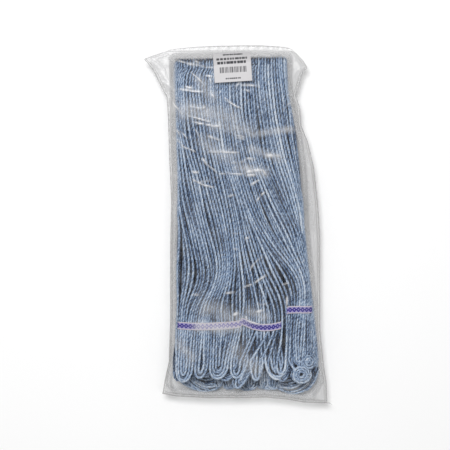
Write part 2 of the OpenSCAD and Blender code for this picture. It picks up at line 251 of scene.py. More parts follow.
class Nodes:
    """Short calls for building a material's nodes."""

    def __init__(self, name):
        self.material = bpy.data.materials.new(name)
        self.material.use_nodes = True
        self.tree = self.material.node_tree
        self.shader = self.tree.nodes["Principled BSDF"]
        self.place = self.tree.nodes.new("ShaderNodeTexCoord").outputs["Object"]

    def set(self, **values):
        for key, value in values.items():
            self.shader.inputs[key.replace("_", " ")].default_value = value
        return self

    def join(self, source, name):
        self.tree.links.new(source, self.shader.inputs[name])

    def attribute(self, name):
        node = self.tree.nodes.new("ShaderNodeAttribute")
        node.attribute_name = name
        return node.outputs["Fac"]

    def noise(self, scale, detail=2.0, rough=0.5, stretch=None):
        node = self.tree.nodes.new("ShaderNodeTexNoise")
        node.inputs["Scale"].default_value = scale
        node.inputs["Detail"].default_value = detail
        node.inputs["Roughness"].default_value = rough
        source = self.place
        if stretch:
            mapping = self.tree.nodes.new("ShaderNodeMapping")
            mapping.inputs["Scale"].default_value = stretch
            self.tree.links.new(self.place, mapping.inputs["Vector"])
            source = mapping.outputs["Vector"]
        self.tree.links.new(source, node.inputs["Vector"])
        return node.outputs["Fac"]

    def math(self, kind, a, b=0.0, c=0.0, clamp=False):
        node = self.tree.nodes.new("ShaderNodeMath")
        node.operation = kind
        node.use_clamp = clamp
        for socket, value in zip(node.inputs, (a, b, c), strict=False):
            if isinstance(value, (int, float)):
                socket.default_value = value
            else:
                self.tree.links.new(value, socket)
        return node.outputs["Value"]

    def ramp(self, factor, *stops):
        node = self.tree.nodes.new("ShaderNodeValToRGB")
        points = node.color_ramp.elements
        while len(points) < len(stops):
            points.new(0.5)
        for point, (at, colour) in zip(points, stops, strict=False):
            point.position = at
            point.color = (*colour, 1)
        self.tree.links.new(factor, node.inputs["Fac"])
        return node.outputs["Color"]

    def colour(self, factor, *stops):
        self.join(self.ramp(factor, *stops), "Base Color")

    def bump(self, height, strength, distance):
        node = self.tree.nodes.new("ShaderNodeBump")
        node.inputs["Strength"].default_value = strength
        node.inputs["Distance"].default_value = distance
        self.tree.links.new(height, node.inputs["Height"])
        self.join(node.outputs["Normal"], "Normal")


def yarn_material():
    m = Nodes("yarn").set(Roughness=0.92, Specular_IOR_Level=0.18, Sheen_Weight=0.25,
                          Sheen_Roughness=0.6)
    value = m.math("MULTIPLY_ADD", m.noise(520, 3, 0.6), 1.35, -0.82)
    value = m.math("MULTIPLY_ADD", m.noise(140, 2, 0.55), 0.6, value)
    # Painted shade: the ply attribute darkens the yarn in the grooves between its plies and lightens
    # their crests
    value = m.math("MULTIPLY_ADD", m.attribute("ply"), 0.36, value)
    # tone: each strand's own random tone, with the painted shade on its flanks and under the yarn
    # around it
    value = m.math("ADD", m.attribute("tone"), value, clamp=True)
    m.colour(value, (0.0, (0.006, 0.011, 0.026)), (0.18, (0.032, 0.054, 0.105)),
             (0.38, (0.100, 0.155, 0.265)), (0.60, (0.245, 0.335, 0.480)),
             (0.82, (0.405, 0.495, 0.620)), (1.0, (0.600, 0.660, 0.735)))
    m.bump(m.noise(1500, 3, 0.7), 0.6, 0.0007)
    return m.material


# ---------------------------------------------------------------- how the strands run

# Across: share of the mop's width at the fold, where a negative share is a strand that comes out
# from beneath at the left edge. Down: distance along the mop. Each number is where the upper
# strands of the upper tail lie across the mop. Its band gathers three groups of them.
FLOW_SHARE = [-.12, -.08, -.04, 0, .04, .10, .18, .25, .305, .365, .415, .445, .475, .57, .635,
              .71, .80, .90, 1]
FLOW = [
    [-240, -95, -86, -78, -70, -60, -47, -33, -19, -8, 18, 70, 78, 85, 93, 99, 105, 110, 115, 120],
    [-210, -95, -86, -78, -70, -60, -47, -33, -19, -8, 20, 70, 78, 85, 93, 99, 105, 110, 115, 120],
    [-180, -93, -84, -77, -69, -60, -48, -33, -17, -3, 36, 71, 78, 84, 92, 98, 103, 108, 113, 118],
    [-150, -90, -82, -75, -68, -58, -44, -26, -7, 5, 58, 73, 79, 84, 93, 98, 102, 106, 110, 114],
    [-120, -88, -82, -76, -70, -62, -50, -36, -20, 6, 54, 76, 85, 92, 99, 102, 105, 107, 110, 112],
    [-95, -90, -70, -53, -43, -34, -27, -20, -15, 6, 40, 68, 86, 95, 102, 104, 106, 108, 109, 111],
    [-70, -90, -68, -49, -38, -28, -19, -13, -10, 6, 30, 47, 70, 86, 97, 99, 101, 103, 104, 106],
    [-40, -90, -74, -58, -48, -36, -24, -16, -9, 3, 20, 38, 42, 47, 76, 86, 91, 96, 99, 102],
    [0, -89, -80, -67, -58, -50, -38, -24, -12, -3, 10.5, 21, 24, 27, 53, 70, 83, 91, 95, 99],
    [40, -90, -88, -76, -68, -59, -47, -33, -20, -11, -1.5, 6, 8.5, 11, 35, 46, 66, 83, 91, 96],
    [80, -90, -90, -86, -78, -69, -56, -43, -32, -23, -13, -6, -3.5, -1, 21, 31, 46, 64, 80, 93],
    [120, -92, -92, -91, -87, -79, -66, -53, -42, -32, -21, -15, -12, -9.5, 11, 22, 36, 54, 71,
     87],
    [160, -92, -92, -92, -90, -84, -73, -60, -48, -38, -27, -21.5, -18.5, -16, 4, 15, 30, 48, 64,
     80],
    [200, -92, -92, -92, -91, -86, -76, -64, -52, -41, -30, -25, -21.5, -19, 0, 11, 25, 42, 58,
     73],
    [240, -92, -92, -92, -91, -85, -75, -63, -51, -42, -31, -25.5, -22.5, -20, -2, 9, 23, 39, 55,
     71],
]

LAYERS = 4
PER_LAYER = 38
COUNT = LAYERS * PER_LAYER
BUNDLES = 8
SLICES = 62
END_Y = -203.0
YARN_R = 2.32
PITCH = 22.0  # length of a strand in which its plies wind round once
# Loops that curl round on themselves at the right: where across and down the mop, and radius
CURLS = [(94, -222, 5), (94, -222, 9.6), (94, -222, 14.2), (106, -203, 6.5), (106, -203, 11)]


def flow_field(slice_y):
    """Places across the mop at each slice, for each column of the flow, smoothed along."""
    table = np.array(FLOW, float)
    fine = np.arange(-250, 250, 2.0)
    reach = 12
    kernel = np.exp(-0.5 * (np.arange(-reach, reach + 1) * 2 / 5.5) ** 2)
    kernel /= kernel.sum()
    out = []
    for column in range(1, table.shape[1]):
        line = np.interp(fine, table[:, 0], table[:, column])
        padded = np.pad(line, reach, mode="edge")
        out.append(np.interp(slice_y, fine, np.convolve(padded, kernel, "valid")))
    return np.array(out)  # column, slice


def strand_goals(share, layer, slice_y):
    """Where each strand would like to lie across the mop: upper tail, then lower tail."""
    columns = flow_field(slice_y)
    spread = FLOW_SHARE[0] + (1 - FLOW_SHARE[0]) * share
    upper = np.array([[np.interp(s, FLOW_SHARE, columns[:, m]) for m in range(len(slice_y))]
                      for s in spread])
    left = look(slice_y, YARN_LEFT) + 3.5
    right = look(slice_y, YARN_RIGHT) - 3.5
    even = left[None, :] + (right - left)[None, :] * share[:, None]
    front = np.where((layer < 2)[:, None], upper, even)
    drift = 4.0 * np.sin(slice_y[None, :] / 52 + share[:, None] * 9)
    inside = np.sin(np.pi * share)[:, None] * ramp((FOLD_Y - slice_y) / 90)[None, :]
    return front, even + drift * inside


def settle():
    """Packs round strands into both tails, slice by slice, and returns x and height."""
    slice_y = np.linspace(END_Y, FOLD_Y, SLICES)
    layer = np.repeat(np.arange(LAYERS), PER_LAYER)
    index = np.tile(np.arange(PER_LAYER), LAYERS)
    offset = np.array([0.0, 0.5, 0.25, 0.75])[layer] - 0.375
    share = (index + 0.5 + offset + rng.uniform(-0.15, 0.15, COUNT)) / PER_LAYER
    share = np.clip(share, 0.0, 1.0)
    goal_front, goal_back = strand_goals(share, layer, slice_y)
    y = np.concatenate([slice_y, slice_y[::-1]])
    front = np.arange(2 * SLICES) < SLICES
    goal = np.concatenate([goal_front, goal_back[:, ::-1]], 1)
    away = ramp((FOLD_Y - y) / 60)
    phase = rng.uniform(0, 2 * np.pi, (COUNT, 2))
    wave = rng.uniform(9, 19, COUNT)
    goal = goal + away * (1.6 * np.sin(y[None, :] / wave[:, None] + phase[:, :1])
                          + 1.6 * np.sin(y[None, :] / 31 + share[:, None] * 26 + front * 2.0))
    r = YARN_R - 0.35 * ramp((y - 195) / 38) - 0.22 * np.where(
        front, bump(y, -145, 45, 15), bump(y, BACK_BAND_Y, 35, 12))

    def limits(x):
        yy = np.broadcast_to(y, x.shape)
        face = np.where(front, front_face(x, yy), back_face(x, yy))
        under = tail_under(yy, np.where(front, band_line(x), BACK_BAND_Y))
        return under, face

    x = goal.copy()
    under, face = limits(x)
    depth = layer[:, None] / (LAYERS - 1)
    h = (face - r) - (face - under - 2 * r) * depth
    edge_l = look(y, YARN_LEFT) + r
    edge_r = look(y, YARN_RIGHT) - r
    pull = np.where(layer < 2, 0.30, 0.03)[:, None]
    steps = 150
    same = np.eye(COUNT, dtype=bool)[:, :, None]
    lie = (-0.45 * layer + rng.uniform(-1.0, 1.0, COUNT)).astype(np.float32)
    lie = (lie[:, None] - lie[None, :])[:, :, None]
    lift = np.array([0.34, 0.30, 0.16, -0.14])[layer][:, None] + 0.20 * ramp((-150 - y) / 25)
    for step in range(steps):
        if step % 12 == 0:
            slope = np.gradient(x, axis=1) / (slice_y[1] - slice_y[0])
            lean = (1 / np.sqrt(1 + slope ** 2)).astype(np.float32)
            lean = np.clip(lean, 0.45, 1)
        xs, hs = x.astype(np.float32), h.astype(np.float32)
        dx = (xs[:, None, :] - xs[None, :, :]) * (0.5 * (lean[:, None, :] + lean[None, :, :]))
        dh = hs[:, None, :] - hs[None, :, :] + lie
        gap = np.sqrt(dx * dx + dh * dh) + 1e-4
        over = np.clip(2 * r.astype(np.float32) - gap, 0, None)
        over = np.where(same, 0, over) / gap
        x += 0.34 * (over * dx).sum(1) / lean
        h += 0.34 * (over * dh).sum(1)
        crowd = over.sum(1)
        x += pull * (goal - x) * (1 - 0.7 * step / steps)
        sparse = 0.24 * bump(x, 34, 44, 12) * ramp((-45 - y) / 30)
        inside = ramp((np.minimum(x - edge_l, edge_r - x) - 1) / 14)
        h += (lift * inside + sparse) * (1 - step / steps) / (1 + 2.5 * crowd)
        for _ in range(2):
            x[:, 1:-1] += 0.25 * (x[:, :-2] + x[:, 2:] - 2 * x[:, 1:-1])
            h[:, 1:-1] += 0.25 * (h[:, :-2] + h[:, 2:] - 2 * h[:, 1:-1])
        x = np.clip(x, edge_l, edge_r)
        under, face = limits(x)
        h = np.clip(h, np.minimum(under + 0.7 * r, face - r), face - r)
    turn = 0.5 * (x[:, SLICES - 1] + x[:, SLICES])
    x[:, SLICES - 1] = x[:, SLICES] = turn
    turn = 0.5 * (h[:, SLICES - 1] + h[:, SLICES])
    h[:, SLICES - 1] = h[:, SLICES] = turn
    _, face = limits(x)
    return y, x, h, r, share, layer, face


def lump(x, y):
    """Carries a straight end of the lower tail round into the curls at the bag's corners."""
    t = np.maximum(0, LUMP_Y - y)
    room = LUMP_Y - look(x, FILM_BOTTOM) - 6.5
    out_x, out_y = x.copy(), np.where(t > 0, LUMP_Y - 0.95 * room * (1 - np.exp(-t / 30)), y)
    for cx, side in ((-38, -1), (64, 1)):
        reach = np.maximum(side * (x - cx), 14.0)
        turn = np.minimum(t / reach, 1.75)
        weight = ramp((side * (x - cx) + 4) / 14)
        px = x - side * reach * (1 - np.cos(turn))
        drop = np.minimum(reach * 1.1, room)
        py = LUMP_Y - drop * np.sin(np.minimum(turn, 1.57)) * (1 - 0.12 * ramp((turn - 1.3) / 0.6))
        px = px + side * 6 * np.sin(np.minimum(turn * 1.7, np.pi))
        out_x = out_x + weight * (px - x)
        out_y = np.where(t > 0, out_y * (1 - weight) + py * weight, out_y)
    return out_x, out_y


def u_turn(xa, ha, xb, hb, start, depth, n=13):
    """Points of a loop from one strand's end to another's, both pointing down the mop."""
    t = np.linspace(0, np.pi, n)[1:-1]
    x = 0.5 * (xa + xb) + 0.5 * (xa - xb) * np.cos(t)
    y = start - depth * np.sin(t) ** 0.8
    share = t / np.pi
    return x, y, ha + (hb - ha) * share


def curl(ha, hb, centre, level, radius, r, n=34):
    """A loop that turns once more on itself, lying over its own strand."""
    share = np.linspace(0, 1, n)
    angle = np.pi + share * 3 * np.pi
    size = radius * (1 - 0.22 * np.sin(np.pi * share))
    x = centre + size * np.cos(angle)
    y = level + size * np.sin(angle)
    return x, y, ha + (hb - ha) * share + 2.6 * r * np.sin(np.pi * share) ** 2


def pair_up(x_end, layer):
    """Pairs strands whose ends lie side by side, as nested loops no wider than 30 mm."""
    pairs = []
    for half in (0, 1):
        row = np.where(layer // 2 == half)[0]
        row = row[np.argsort(x_end[row])]
        at = 0
        while at < len(row):
            size = min(int(rng.choice([4, 6, 8, 10, 12])), len(row) - at)
            while size > 2 and x_end[row[at + size - 1]] - x_end[row[at]] > 30:
                size -= 2
            group = row[at:at + size]
            at += size
            low = rng.uniform(0, 1)
            lean = rng.normal(0, 0.22)
            for k in range(size // 2):
                pairs.append((group[k], group[size - 1 - k], size // 2 - 1 - k, low, lean))
    return pairs


def loop_paths():
    """Closed centre lines of all loops, each with its radius along it."""
    y, x, h, r, share, layer, face = settle()
    depth = face - h - r
    way = np.repeat([1, -1], SLICES)
    lines = np.stack([x, 0 * x + y, MID + way * h, 0 * x + r], -1)
    front, back = lines[:, :SLICES], lines[:, SLICES:]
    arc = np.radians([60, 30, 0, -30, -60])

    def fold(s):
        radius = h[s, SLICES]
        return np.stack([0 * arc + x[s, SLICES], FOLD_Y + radius * np.cos(arc),
                         MID + radius * np.sin(arc), 0 * arc + r[SLICES]], 1)

    loops, curls = [], 0
    for a, b, nest, low, lean in pair_up(x[:, 0], layer):
        wide = abs(x[a, 0] - x[b, 0])
        start = END_Y - 3
        deep = max(0.5 * wide, 4 + 23 * low + 3.2 * nest + rng.uniform(-2, 2))
        deep = min(deep, start - look(x[a, 0], FILM_BOTTOM) - 16)
        fx, fy, fh = u_turn(x[a, 0], h[a, 0], x[b, 0], h[b, 0], start, deep)
        fx = fx + lean * (start - fy)
        middle = 0.5 * (x[a, 0] + x[b, 0])
        if layer[a] < 2 and 78 < middle < 106 and wide < 26 and curls < len(CURLS):
            fx, fy, fh = curl(h[a, 0], h[b, 0], *CURLS[curls], r[0])
            curls += 1
        fface = front_face(fx, np.maximum(fy, -250))
        fh = np.minimum(fh, fface - 0.6 * r[0])
        bx, by, bh = u_turn(x[b, -1], h[b, -1], x[a, -1], h[a, -1], END_Y - 4,
                            44 + 22 * low + 6 * nest, 19)
        lx, ly = lump(bx, by)
        bh = np.minimum(bh, back_face(lx, np.maximum(ly, -256)) - 0.9 * r[-1])
        path = np.concatenate([
            front[a, ::-1], np.stack([fx, fy, MID + fh, 0 * fx + r[0]], 1), front[b], fold(b),
            back[b], np.stack([lx, ly, MID - bh, 0 * lx + r[-1]], 1), back[a, ::-1],
            fold(a)[::-1]])
        seen = max((depth[a] < 4.2).mean(), (depth[b] < 4.2).mean())
        loops.append((share[a] + share[b], seen > 0.08, path[:, :3], path[:, 3]))
    loops.sort(key=lambda loop: loop[0])
    return loops


def resample(points, radii, spacing):
    """Catmull-Rom through the closed points, then even steps along it."""
    keep = np.linalg.norm(points - np.roll(points, 1, 0), axis=1) > 0.4
    points, radii = points[keep], radii[keep]
    p0, p1, p2, p3 = (np.roll(points, s, 0) for s in (1, 0, -1, -2))
    parts = []
    sub = 6
    for k in range(sub):
        t = k / sub
        parts.append(0.5 * (2 * p1 + (p2 - p0) * t + (2 * p0 - 5 * p1 + 4 * p2 - p3) * t * t
                            + (3 * p1 - p0 - 3 * p2 + p3) * t ** 3))
    fine = np.stack(parts, 1).reshape(-1, 3)
    fine_r = np.stack([radii * (1 - k / sub) + np.roll(radii, -1) * k / sub
                       for k in range(sub)], 1).ravel()
    closed = np.concatenate([fine, fine[:1]])
    s = np.concatenate([[0], np.cumsum(np.linalg.norm(np.diff(closed, axis=0), axis=1))])
    count = int(s[-1] / spacing)
    at = np.arange(count) * s[-1] / count
    return (np.stack([np.interp(at, s, closed[:, k]) for k in range(3)], 1),
            np.interp(at, s, np.concatenate([fine_r, fine_r[:1]])), s[-1])


def tilted(points):
    """The fold isn't square to the mop: its right-hand end is pulled further up the bag."""
    out = np.array(points, float)
    x, y = out[..., 0], out[..., 1]
    out[..., 1] += 7.5 * ramp((y - 120) / 100) * np.clip((x + 60) / 130, 0, 1)
    out[..., 0] -= 2.6 * ramp((y - 170) / 50) * np.clip((-20 - x) / 60, 0, 1)
    return out


def edge_gap(x, y):
    """How far inside the nearer side of the mop a place is."""
    return np.minimum(x - look(y, YARN_LEFT), look(y, YARN_RIGHT) - x)


def buried(points):
    """How far points lie under the yarn around them, for the painted shade there in the yarn's
    colour.
    """
    x, y, z = points.T
    cell, cols, rows = 3.0, 90, 185
    col = np.clip(((x + 130) / cell).astype(int), 0, cols - 1)
    row = np.clip(((y + 275) / cell).astype(int), 0, rows - 1)
    below = np.zeros(len(x))
    for side in (1, -1):
        mine = side * (z - MID) > 0
        high = np.zeros((rows, cols))
        np.maximum.at(high, (row[mine], col[mine]), side * (z[mine] - MID))
        for axis, reach in ((1, 1), (0, 2)):
            high = np.maximum.reduce([np.roll(high, k, axis) for k in range(-reach, reach + 1)])
        for axis in (0, 1):
            high = (np.roll(high, 1, axis) + 2 * high + np.roll(high, -1, axis)) / 4
        below[mine] = high[row[mine], col[mine]] - side * (z[mine] - MID)
    below *= np.where(z < MID, ramp((y + 226) / 14), 1)
    return np.maximum(below, 0) * (0.2 + 0.8 * ramp((edge_gap(x, y) - 2) / 14))


def tube(points, radii, length, sides):
    """A closed four-ply strand: rings of points that wind about the centre line."""
    n = len(points)
    tangent = np.roll(points, -1, 0) - np.roll(points, 1, 0)
    tangent /= np.linalg.norm(tangent, axis=1)[:, None]
    normal = np.empty_like(points)
    v = np.array([1.0, 0, 0.2])
    for i in range(n):
        v = v - tangent[i] * v.dot(tangent[i])
        v /= math.sqrt(v.dot(v))
        normal[i] = v
    end = normal[-1] - tangent[0] * normal[-1].dot(tangent[0])
    end /= np.linalg.norm(end)
    side = np.cross(tangent, normal)
    miss = math.atan2(end.dot(side[0]), end.dot(normal[0]))
    turns = round(length / PITCH * 4) / 4
    twist = np.arange(n) / n * (2 * math.pi * turns - miss) + rng.uniform(0, 6.28)
    lobe = 2 * math.pi * np.arange(sides) / sides
    ply = np.abs(np.cos(1.5 * lobe))
    reach = radii[:, None] * (0.83 + 0.19 * ply[None, :])
    angle = twist[:, None] + lobe[None, :]
    ring = (points[:, None, :] + (reach * np.cos(angle))[:, :, None] * normal[:, None, :]
            + (reach * np.sin(angle))[:, :, None] * side[:, None, :])
    a = (np.arange(n)[:, None] * sides + np.arange(sides)[None, :])
    b = np.roll(a, -1, 1)
    quads = np.stack([a, b, np.roll(b, -1, 0), np.roll(a, -1, 0)], -1).reshape(-1, 4)
    # Which way each ring point faces, for the painted shade on the strands' flanks: out from the
    # tail's face, or round the fold; at the mop's sides and its lower end the open sides count as
    # facing out too
    out = np.stack([0 * points[:, 0], np.maximum(points[:, 1] - FOLD_Y, 0), points[:, 2] - MID], 1)
    out /= np.linalg.norm(out, axis=1)[:, None] + 1e-6
    offset = (ring - points[:, None, :]) / reach[:, :, None]
    facing = (offset * out[:, None, :]).sum(2)
    open_side = ramp((10 - edge_gap(points[:, 0], points[:, 1])) / 7) * np.sign(points[:, 0] - 8)
    open_end = ramp((-212 - points[:, 1]) / 14)[:, None]
    facing = np.maximum.reduce([facing, offset[:, :, 0] * open_side[:, None],
                                np.abs(facing) * open_end, -offset[:, :, 1] * open_end])
    base = rng.normal(0, 0.075)
    knots = rng.normal(0, 0.10, int(length / 38) + 2)
    tone = base + np.interp(np.arange(n) / n * (len(knots) - 1), np.arange(len(knots)), knots)
    # Painted shade: the strand's flanks, turned away from the outside, are darkened in its tone, on
    # top of its own random tone
    tone = tone[:, None] - 1.20 * ramp((0.66 - facing) / 0.55)
    return ring.reshape(-1, 3), quads, tone.ravel(), np.tile(ply, n)


def build_yarn():
    """All loops as meshes, joined from left to right into one piece for each strand bundle."""
    material = yarn_material()
    made = []
    for _, seen, points, radii in loop_paths():
        spacing, sides = (1.9, 10) if seen else (4.5, 6)
        line, radius, length = resample(points, radii, spacing)
        made.append(tube(line, radius, length, sides))
    total = sum(len(part[1]) for part in made)
    rings = np.concatenate([part[0] for part in made])
    at_loops = ramp((rings[:, 1] + 240) / 45)
    # Darker up the mop than in the loops at its end, and lighter below the band
    shade = 0.335 - 0.07 * at_loops + 0.05 * ramp((-152 - rings[:, 1]) / 20)
    # Painted shade: darker where the yarn lies under the strands around it, more so up the mop than
    # in the loops at its end
    shade -= (0.15 + 0.35 * at_loops) * ramp((buried(rings) - 1.2) / 4.6)
    shade = np.split(shade, np.cumsum([len(part[0]) for part in made])[:-1])
    made = [(tilted(p[0]), p[1], p[2] + dark, p[3]) for p, dark in zip(made, shade, strict=True)]
    pieces = []
    batch, size, number = [], 0, 1
    for k, part in enumerate(made):
        batch.append(part)
        size += len(part[1])
        if size >= total / BUNDLES * 0.985 or k == len(made) - 1:
            start = np.cumsum([0] + [len(p[0]) for p in batch])
            obj = make_object(
                f"yarn_loops_{number}", np.concatenate([p[0] for p in batch]),
                np.concatenate([p[1] + s for p, s in zip(batch, start, strict=False)]),
                {"tone": np.concatenate([p[2] for p in batch]),
                 "ply": np.concatenate([p[3] for p in batch])})
            pieces.append(finish_piece(obj, material, "yarn", f"strand_bundle_{number}"))
            batch, size, number = [], 0, number + 1
    return pieces


yarn_pieces = build_yarn()

# ---------------------------------------------------------------- woven tapes


def chain_pattern(along, across):
    """1 where the tape's indigo chain is, 0 on the pale ground; across runs from -1 to 1."""
    step = np.abs((along / 6.2) % 1 - 0.5) * 2
    body = np.abs(across) / 0.62
    ring = np.abs(step + body - 0.78)
    chain = np.where(body < 1, ramp((0.50 - ring) / 0.20), 0)
    rail = ramp((0.07 - np.abs(np.abs(across) - 0.70)) / 0.05) * 0.55
    # From about x -66 to 8 the tape is paler and has no solid indigo
    pale_span = ramp((along + 66) / 10) * ramp((8 - along) / 6)
    solid = (1 - pale_span) * 0.36 * ramp((1.06 - body) / 0.12)
    return np.maximum(np.maximum(chain, rail), solid) * (1 - 0.35 * pale_span)


def tape_material():
    m = Nodes("band_tape").set(Roughness=0.85, Specular_IOR_Level=0.2, Sheen_Weight=0.2)
    ink = m.math("MULTIPLY_ADD", m.noise(900, 2, 0.6), 0.5, m.attribute("ink"))
    m.colour(m.math("SUBTRACT", ink, 0.25, clamp=True), (0.0, (0.55, 0.50, 0.54)),
             (0.30, (0.34, 0.31, 0.50)), (0.62, (0.10, 0.085, 0.34)), (1.0, (0.030, 0.022, 0.19)))
    m.bump(m.noise(1300, 2, 0.6, (1.0, 0.35, 1.0)), 0.5, 0.0006)
    return m.material


def thread_material():
    m = Nodes("thread").set(Roughness=0.7, Specular_IOR_Level=0.3, Sheen_Weight=0.3)
    m.colour(m.noise(1800, 2), (0.2, (0.50, 0.48, 0.52)), (0.8, (0.80, 0.78, 0.78)))
    m.bump(m.noise(2400, 2, 0.5, (1.0, 3.0, 1.0)), 0.5, 0.0003)
    return m.material


TAPE_HALF = 5.5
TAPE_LINE = np.array([[-92, -149.5], [-70, -151], [-50, -151.5], [-20, -150], [-4, -148.5],
                      [3, -147.5], [6, -143.5], [12, -146], [22, -150.5], [36, -153],
                      [50, -152.5], [64, -149.5], [67, -144], [71, -129.5], [74, -126.5],
                      [90, -126], [112, -126.5]], float)


def tape_y(x):
    offsets = np.array([-1.2, 0, 1.2])
    return sum(look(x + d, TAPE_LINE) for d in offsets) / 3


def front_band_top(x):
    spread = [front_face(x, tape_y(x) + d) for d in (-6, 0, 6)]
    return MID + np.maximum.reduce(spread) + 0.25 - 4.5 * bump(x, 68.5, 6)


def band_ripple(x):
    return 0.35 * np.sin(x / 5.6 * 2 * np.pi + 0.8) + 0.3 * np.sin(x / 17 + 1)


def band_grid(rows):
    """Places along and across a tail band's tape, and its woven pattern."""
    x, t = np.meshgrid(np.linspace(-90.5, 111.0, 460), np.linspace(-1, 1, rows))
    return x, t, {"ink": chain_pattern(x, t)}


def lay_tape(name, node, grid, line, top, thick):
    """One tape of a tail band, from the line that it follows and its upper face's height."""
    x, t, ink = grid
    obj = shell(name, np.stack([x, line + t * TAPE_HALF, top], -1), thick, ink)
    finish_piece(obj, tape, "band_tape", node)


def stitches(name, node, places, ways, length=4.0, radius=0.4):
    """Short sewn stitches: spindles of six sides, sunk into the cloth at both ends."""
    verts, faces = [], []
    profile = [(-0.5, 0.15, -0.9), (-0.38, 0.75, -0.3), (-0.15, 1, 0.1), (0.15, 1, 0.1),
               (0.38, 0.75, -0.3), (0.5, 0.15, -0.9)]
    for place, way in zip(np.array(places, float), np.array(ways, float), strict=True):
        d = way / np.linalg.norm(way)
        side = np.cross([0, 0, 1.0], d)
        side /= np.linalg.norm(side)
        up = np.cross(d, side)
        start = len(verts)
        for along, thick, lift in profile:
            for k in range(6):
                a = k * math.pi / 3
                verts.append(place + d * along * length + radius * (
                    thick * (math.cos(a) * side + math.sin(a) * up) + lift * up))
        for i in range(len(profile) - 1):
            for k in range(6):
                a, b = start + i * 6 + k, start + i * 6 + (k + 1) % 6
                faces.append([a, b, b + 6, a + 6])
        last = start + (len(profile) - 1) * 6
        faces += [[start + 3, start + 2, start + 1, start], [start + 5, start + 4, start + 3,
                  start], [last, last + 1, last + 2, last + 3], [last, last + 3, last + 4,
                  last + 5]]
    finish_piece(make_object(name, verts, faces), thread, "thread", node)


def sew_band(name, node, seat, way):
    """Two rows of stitches along a band: seat gives a stitch's line and height, way its lie."""
    marks = [(side, at) for side in (-1, 1) for at in np.arange(-86, 108, 4.6)]
    places = [[at, seat(at)[0] + side * 4.4, seat(at)[1]] for side, at in marks]
    stitches(name, node, places, [way(at) for _, at in marks], 3.0, 0.36)


def build_front_band():
    grid = x, t, _ = band_grid(25)
    ripple = band_ripple(x)
    top = front_band_top(x) + 0.9 + ripple * (1 - 0.2 * t ** 2) - 0.25 * t ** 4
    weave = 0.07 * np.sin(x / 1.1 * 2 * np.pi) * np.sin(t * 5.5 / 1.1 * 2 * np.pi)
    lay_tape("front_band_tape_top", "front_band_upper_tape", grid, tape_y(x), top + weave, 0.9)
    under = MID + tail_under(band_line(x), band_line(x)) - 0.5 + 0.1 * ripple
    lay_tape("front_band_tape_under", "front_band_lower_tape", grid, band_line(x), under, 0.8)
    sew_band("front_band_thread", "front_band_stitching",
             lambda at: (tape_y(at), front_band_top(at) + 0.95 + band_ripple(at)),
             lambda at: [1, (tape_y(at + 1) - tape_y(at - 1)) / 2, 0])


def build_back_band():
    grid = x, _, _ = band_grid(17)
    line = BACK_BAND_Y + 0 * x
    face = np.maximum.reduce([back_face(x, line + d) for d in (-6, 0, 6)])
    outer = MID - face - 0.45 + 0.15 * np.sin(x / 6.1 * 2 * np.pi)
    lay_tape("back_band_tape_outer", "back_band_lower_tape", grid, line, outer, 0.85)
    inner = MID - tail_under(line, BACK_BAND_Y) + 1.1
    lay_tape("back_band_tape_inner", "back_band_upper_tape", grid, line, inner, 0.8)
    sew_band("back_band_thread", "back_band_stitching",
             lambda at: (BACK_BAND_Y, MID - back_face(at, BACK_BAND_Y) - 1.45),
             lambda at: [-1, 0, 0])


# ---------------------------------------------------------------- headband and scrub pad

BAND_FROM, BAND_TO = -82.5, 63.5
TAPE_IN = FOLD_OUTER + 0.2


def wrap_line(radius, flat, n_arc=22, n_flat=10):
    """Points down the fold's outside and along under the lower tail: y, z, and outward way."""
    angle = np.radians(np.linspace(-30, -90, n_arc))
    y = FOLD_Y + radius * np.cos(angle)
    z = MID + radius * np.sin(angle)
    run = np.linspace(0, flat, n_flat + 1)[1:]
    y = np.concatenate([y, FOLD_Y - run])
    z = np.concatenate([z, np.full(n_flat, MID - radius)])
    ny = np.concatenate([np.cos(angle), np.zeros(n_flat)])
    nz = np.concatenate([np.sin(angle), -np.ones(n_flat)])
    return y, z, ny, nz


def canvas_material():
    m = Nodes("headband_canvas").set(Roughness=0.88, Specular_IOR_Level=0.2, Sheen_Weight=0.2)
    tint = m.math("MULTIPLY_ADD", m.noise(700, 2, 0.6), 0.45, m.attribute("ink"))
    m.colour(tint, (0.0, (0.62, 0.62, 0.66)), (0.55, (0.42, 0.46, 0.60)), (1.0, (0.16, 0.20, 0.42)))
    m.bump(m.noise(1200, 2, 0.6), 0.6, 0.0006)
    return m.material


def wrap_tape(name, node, radius, flat, x_from, x_to, thick):
    """A tape of the headband, bent round the fold and run out under the lower tail."""
    y, z, ny, nz = wrap_line(radius, flat)
    x, i = np.meshgrid(np.linspace(x_from, x_to, max(int((x_to - x_from) / 0.8), 6)),
                       np.arange(len(y)))
    out = thick + 0.10 * np.sin(x / 1.6 * 2 * np.pi) * np.cos(i * np.pi)
    outer = np.stack([x, y[i] + ny[i] * out, z[i] + nz[i] * out], -1)
    inner = np.stack([x, y[i], z[i]], -1)
    share = i / (len(y) - 1) * 2 - 1
    ink = 0.25 + 0.5 * (np.abs(np.abs(share) - 0.8) < 0.07)
    obj = skin(name, tilted(outer), tilted(inner), {"ink": ink}, flip=True)
    finish_piece(obj, canvas, "headband", node)


def build_headband():
    wrap_tape("headband_canvas_outer", "headband_outer_tape", TAPE_IN, 14, BAND_FROM, BAND_TO,
              0.95)
    wrap_tape("headband_canvas_inner", "headband_inner_tape", FOLD_INNER - 1.2, 24, BAND_FROM,
              BAND_TO, 0.9)
    for side, start in (("left", BAND_FROM), ("right", BAND_TO - 5)):
        wrap_tape(f"headband_hem_{side}", f"headband_{side}_hem", TAPE_IN + 1.05, 14, start,
                  start + 5, 0.4)
    places = [[at, y, MID - TAPE_IN - 1.15] for at in np.arange(BAND_FROM + 9, BAND_TO - 8, 5.5)
              for y in (FOLD_Y - 5, FOLD_Y - 12)]
    stitches("headband_thread", "headband_stitching", tilted(places),
             [[-1, 0, 0]] * len(places))


